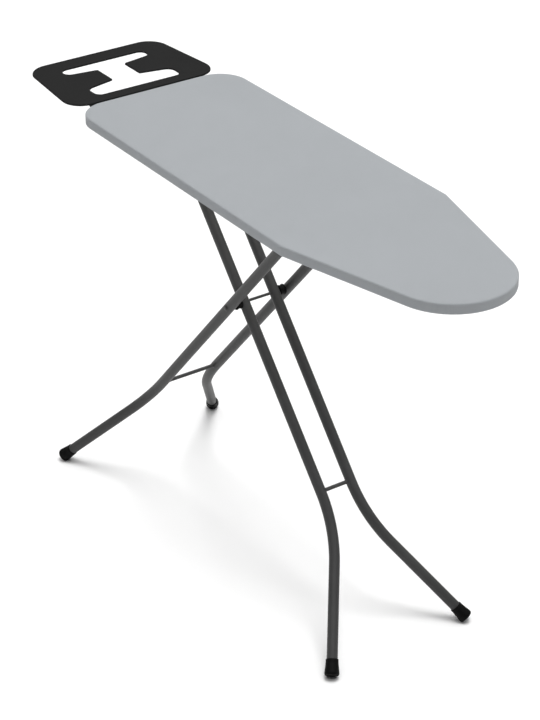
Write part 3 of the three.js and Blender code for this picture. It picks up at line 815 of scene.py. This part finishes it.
def makeTurned(name, profile, kind, x, slotName, node, pair=False):
    piece = turned(name + ("_left" if pair else ""), profile)
    stood(acrossBoard(piece, x=x), kind)
    if pair:
        mountPair(piece, name, kind, slotName, node)
    else:
        smooth(piece)
        mounted(piece, f"{kind}_legs", slotName, finishes[slotName], node)


makeTurned("axle_rod", axleProfile, "inner", 0, "leg_coating", "axle")
makeTurned("axle_bush", spacerProfile, "inner", 0, "black_plastic", "axle_spacer", pair=True)
makeTurned("axle_end_cap", axleCapProfile, "inner", 0, "leg_coating", "axle_cap", pair=True)
makeTurned("slide_rod", slideBarProfile, "outer", -upperArm, "bright_steel", "slide_bar")
makeTurned("slide_rod_glide", glideProfile, "outer", -upperArm, "black_plastic", "slide_glide", pair=True)
makeTurned("slide_rod_cap", barCapProfile, "outer", -upperArm, "black_plastic", "slide_bar_cap", pair=True)
print("axle and slide bar made")

# the iron rest: x runs back from the square end of the top
restShape = {"backHalf": 0.160, "frontHalf": 0.182, "backRound": 0.047, "frontRound": 0.045,
             "roundSteps": 14, "sheet": 0.0016, "rim": 0.0022}
# the slot in steps of (x, half width, corner radius), from its front bar to its rear bar
restSlot = [(-0.0495, 0.102, 0.014), (-0.092, 0.104, 0.019), (-0.107, 0.033, 0.003), (-0.169, 0.033, 0.004),
            (-0.180, 0.103, 0.014), (-0.2095, 0.1025, 0.015)]


def roundCorner(piece, x, y, radius):
    # the corner's own turn gives how far back along its edges the round starts
    def atCorner(v):
        return abs(v.co.x - x) < 1e-4 and abs(abs(v.co.y) - abs(y)) < 1e-4
    mesh = bmesh.from_edit_mesh(piece.data)
    vertex = next(v for v in mesh.verts if atCorner(v))
    ways = [(edge.other_vert(vertex).co - vertex.co).normalized() for edge in vertex.link_edges
            if len(edge.link_faces) == 1]
    inner = ways[0].angle(ways[1])
    pick(piece, "VERT", atCorner)
    bpy.ops.mesh.bevel(offset=radius / math.tan(inner / 2), segments=restShape["roundSteps"], profile=0.5,
                       affect="VERTICES")


def restOutline(low, high):
    letGo()
    bpy.ops.mesh.primitive_plane_add(size=1, location=((low.x + high.x) / 2, 0, high.z))
    plateSheet = bpy.context.object
    plateSheet.scale = (high.x - low.x, 2 * restShape["frontHalf"], 1)
    settle(plateSheet)
    openUp(plateSheet)
    pick(plateSheet, "VERT", lambda v: v.co.x < (low.x + high.x) / 2)
    bpy.ops.transform.resize(value=(1, restShape["backHalf"] / restShape["frontHalf"], 1),
                             center_override=(low.x, 0, high.z))
    roundCorner(plateSheet, low.x, restShape["backHalf"], restShape["backRound"])
    roundCorner(plateSheet, high.x, restShape["frontHalf"], restShape["frontRound"])
    letGo()
    return plateSheet


def restOpening(height):
    # the middle stretch of the slot first, then pulled out both ways to its two bars
    rear = coverLow.x
    neckFront, neckHalf = restSlot[2][:2]
    neckRear = restSlot[3][0]
    bpy.ops.mesh.primitive_plane_add(size=1, location=(rear + (neckFront + neckRear) / 2, 0, height))
    slotSheet = bpy.context.object
    slotSheet.scale = (neckFront - neckRear, 2 * neckHalf, 1)
    settle(slotSheet)
    openUp(slotSheet)
    for steps in (restSlot[2::-1], restSlot[3:]):
        for (fromX, fromHalf, _), (toX, toHalf, _) in zip(steps, steps[1:]):
            pick(slotSheet, "EDGE", lambda e: all(abs(v.co.x - rear - fromX) < sameSpot for v in e.verts))
            pull(x=toX - fromX)
            bpy.ops.transform.resize(value=(1, toHalf / fromHalf, 1),
                                     center_override=(rear + toX, 0, height))
    pick(slotSheet, "EDGE", lambda e: len(e.link_faces) == 2)
    bpy.ops.mesh.dissolve_edges(use_verts=False)
    for x, half, radius in restSlot:
        roundCorner(slotSheet, rear + x, half, radius)
    letGo()
    return slotSheet


def makeRest():
    low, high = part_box("iron_rest")
    piece = joined("iron_rest_plate", [restOutline(low, high), restOpening(high.z)])
    openUp(piece, everything=True)
    bpy.ops.mesh.delete(type="ONLY_FACE")
    bpy.ops.mesh.select_all(action="SELECT")
    bpy.ops.mesh.fill(use_beauty=True)
    bpy.ops.mesh.select_all(action="SELECT")
    bpy.ops.mesh.dissolve_limited(angle_limit=0.01)
    bpy.ops.mesh.select_all(action="SELECT")
    bpy.ops.mesh.normals_make_consistent(inside=False)
    bpy.ops.mesh.select_all(action="SELECT")
    pull(z=low.z - high.z)
    letGo()
    cleanUp(piece, 0.00002)
    openUp(piece)
    pick(piece, "FACE", lambda f: middle(f).z < low.z + sameSpot)
    bpy.ops.mesh.delete(type="ONLY_FACE")
    pick(piece, "EDGE", lambda e: all(v.co.z > high.z - sameSpot for v in e.verts)
         and any(abs(f.normal.z) < 0.1 for f in e.link_faces))
    bpy.ops.mesh.bevel(offset=restShape["rim"], segments=5, profile=0.5)
    letGo()
    applied(piece, "SOLIDIFY", thickness=restShape["sheet"], offset=-1.0)
    smooth(piece, 32)
    mounted(piece, "top", "black_coating", finishes["black_coating"], "iron_rest")


makeRest()
print("iron rest made")

# pressed and turned parts that keep their shape: merged, flat faces cleaned, edges broken
pressedParts = {
    "zinc_steel": {"cross_member_rear": 0.0010, "cross_member_hinge": 0.0010, "cross_member_middle": 0.0010,
                   "cross_member_nose": 0.0010, "rear_hinge_bracket": 0.0006, "runner_left": 0.0005,
                   "runner_right": 0.0005, "catch_bracket": 0.0004, "catch_plate": 0.0005},
    "black_coating": {"rest_arm_left": 0.0006, "rest_arm_right": 0.0006},
    "black_plastic": {"catch_grip": 0.0025},
    "bright_steel": {"rest_arm_screw_left": 0.0003, "rest_arm_screw_right": 0.0003, "rear_hinge_pin": 0.0005,
                     "rear_hinge_clip_left": 0.0004, "rear_hinge_clip_right": 0.0004, "catch_pin": 0.0003,
                     "catch_pin_clip": 0.0003, "catch_spring": 0.0},
}
brokenEdge = {"segments": 3, "limit_method": "ANGLE", "angle_limit": math.radians(35),
              "use_clamp_overlap": True}

for slotName, parts in pressedParts.items():
    for nodeName, edge in parts.items():
        part = nodes[nodeName]
        part.data.materials.clear()
        part.data.materials.append(finishes[slotName])
        addModifier(part, "WELD", merge_threshold=0.00002)
        if edge:
            addModifier(part, "DECIMATE", decimate_type="DISSOLVE", angle_limit=math.radians(1))
            addModifier(part, "BEVEL", width=edge, **brokenEdge)
print("hardware finished")

floorLook = {"size": 80, "colour": (0.94, 0.94, 0.94, 1), "roughness": 0.9, "gloss": 0.05}
letGo()
bpy.ops.mesh.primitive_plane_add(size=floorLook["size"], location=(0, 0, 0))
floor = settle(bpy.context.object, "studio_floor")
floorPaint = Nodes("studioFloor")
floorPaint.finish(Base_Color=floorLook["colour"], Roughness=floorLook["roughness"],
                  Specular_IOR_Level=floorLook["gloss"])
floor.data.materials.append(floorPaint.material)

# two overhead softboxes, one small and one wide, in a white studio that itself gives little light
lights = {
    "smallSoftbox": {"strength": 1.42, "spread": 24, "lean": (-7, 0, 0)},
    "wideSoftbox": {"strength": 2.34, "spread": 92, "lean": (-7, -6, 0)},
}
skyStrength = 0.08
# they light through the top, so that only the legs throw a shadow
shadowCasters = bpy.data.collections.new("shadowCasters")
for piece in bpy.context.scene.objects:
    ofLegs = "tube_" in piece.name or "foot_cap" in piece.name
    if piece.type == "MESH" and ofLegs and "rim" not in piece.name:
        shadowCasters.objects.link(piece)
for lightName, look in lights.items():
    letGo()
    lean = [math.radians(degrees) for degrees in look["lean"]]
    bpy.ops.object.light_add(type="SUN", location=(0, 0, 3), rotation=lean)
    light = bpy.context.object
    light.name = lightName
    light.data.energy = look["strength"]
    light.data.angle = math.radians(look["spread"])
    light.light_linking.blocker_collection = shadowCasters

world = bpy.data.worlds.new("studio")
bpy.context.scene.world = world
world.use_nodes = True
backdrop = world.node_tree.nodes["Background"]
backdrop.inputs["Color"].default_value = (1, 1, 1, 1)
seen = world.node_tree.nodes.new("ShaderNodeLightPath").outputs["Is Camera Ray"]
level = world.node_tree.nodes.new("ShaderNodeMapRange")
level.inputs["To Min"].default_value = skyStrength
level.inputs["To Max"].default_value = 1.0
world.node_tree.links.new(seen, level.inputs["Value"])
world.node_tree.links.new(level.outputs["Result"], backdrop.inputs["Strength"])

view = {"place": (3.201, -2.1945, 2.6926), "turn": 145.544, "down": 30.055, "lens": 109.5}
turn, down = math.radians(view["turn"]), math.radians(view["down"])
aim = Vector((math.cos(down) * math.cos(turn), math.cos(down) * math.sin(turn), -math.sin(down)))
bpy.ops.object.camera_add(location=view["place"], rotation=aim.to_track_quat("-Z", "Y").to_euler())
camera = bpy.context.object
camera.data.lens = view["lens"]
camera.data.clip_start, camera.data.clip_end = 0.05, 100
scene = bpy.context.scene
scene.camera = camera
scene.view_settings.view_transform = "Standard"
letGo()

print("scene ready")
